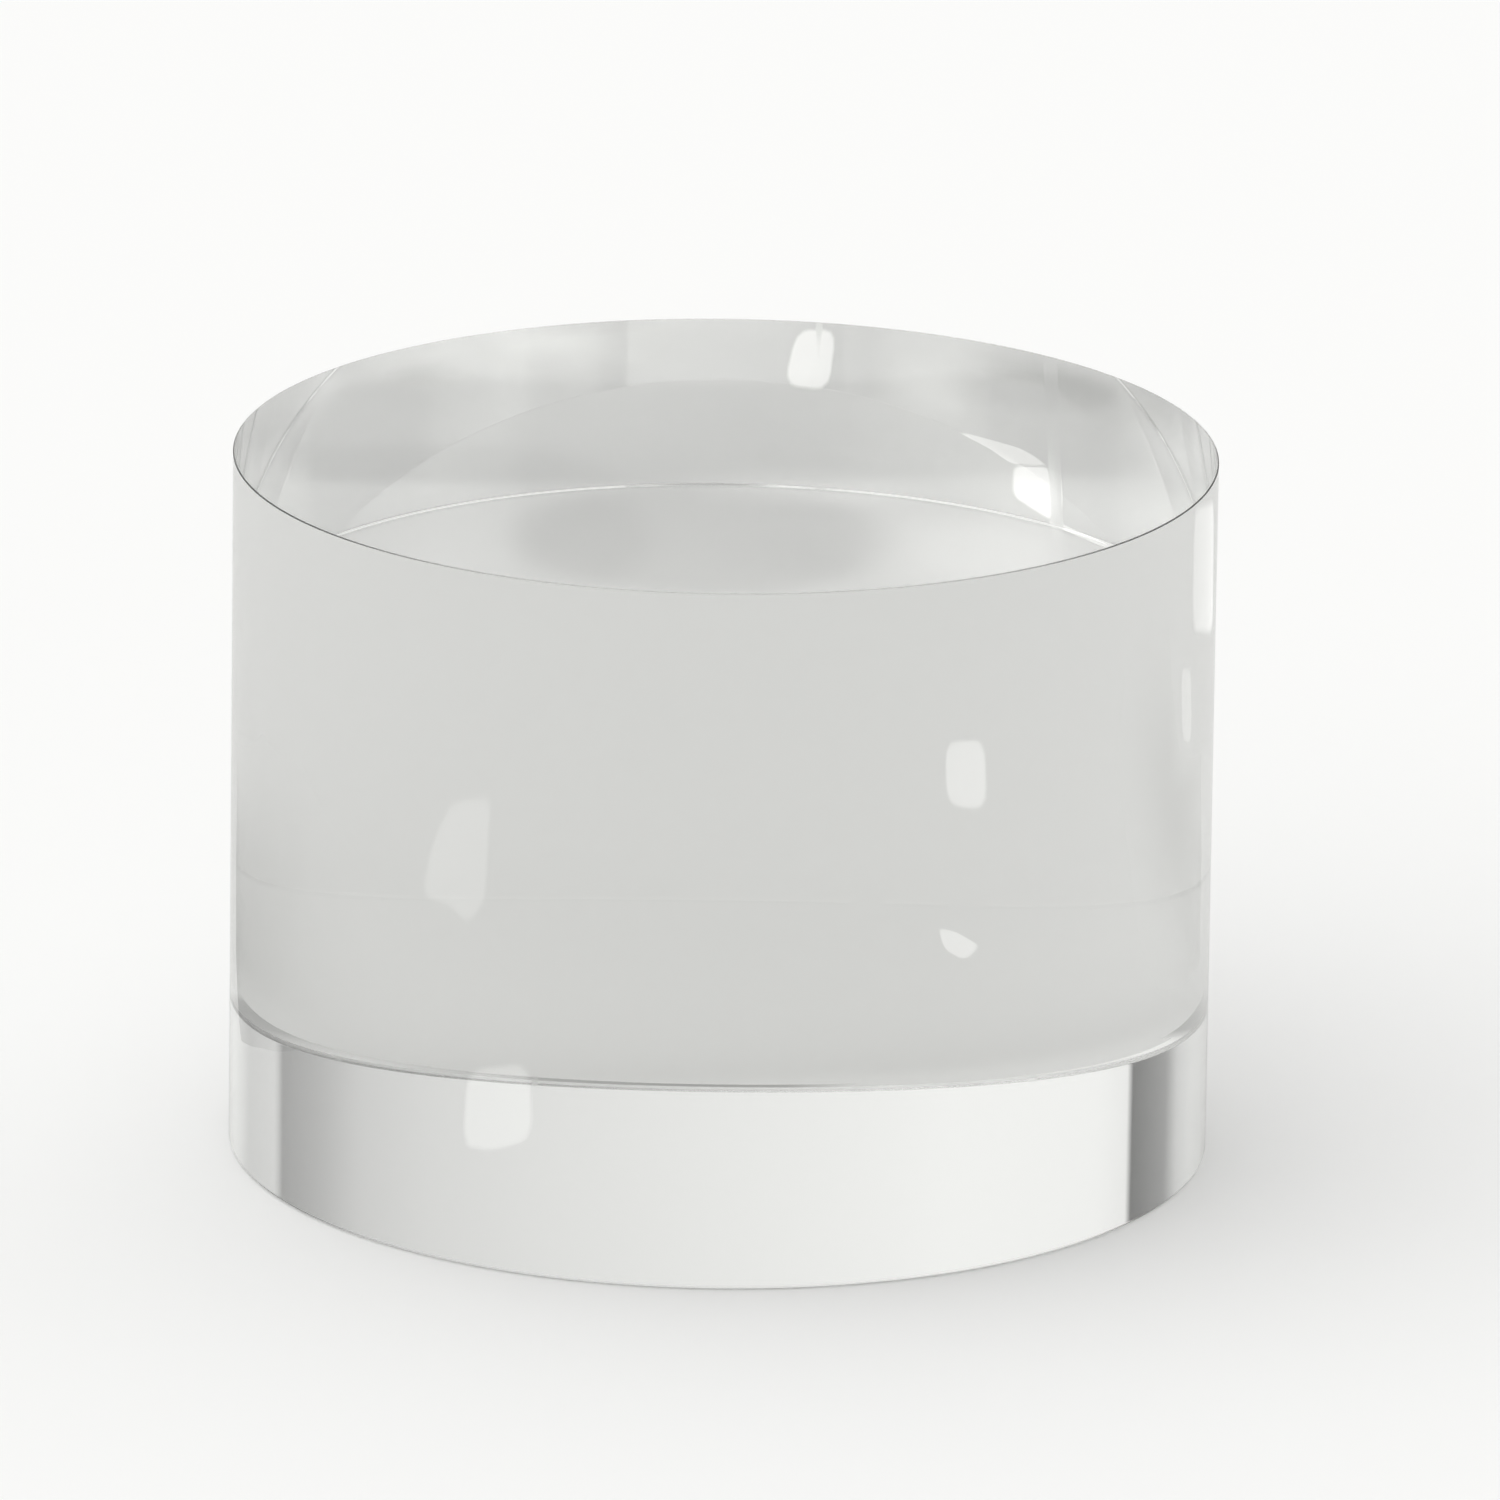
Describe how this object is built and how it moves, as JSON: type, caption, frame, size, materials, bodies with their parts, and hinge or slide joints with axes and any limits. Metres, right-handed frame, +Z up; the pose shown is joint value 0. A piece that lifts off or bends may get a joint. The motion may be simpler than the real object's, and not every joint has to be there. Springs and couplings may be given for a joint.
{
  "type": "acrylic display block",
  "caption": "Round solid clear acrylic display block with flat polished ends and finely broken edges; it stands on one end and carries an exhibit on the other.",
  "frame": {"origin": "centre of the flat base, on the surface the block stands on", "axes": "+Z up along the block's axis of symmetry, from the base to the display face; X and Y are interchangeable"},
  "size_m": [0.055, 0.055, 0.04],
  "materials": {
    "clear_acrylic": "polished"
  },
  "bodies": {
    "root": {"display_block": "clear_acrylic"}
  },
  "joints": []
}
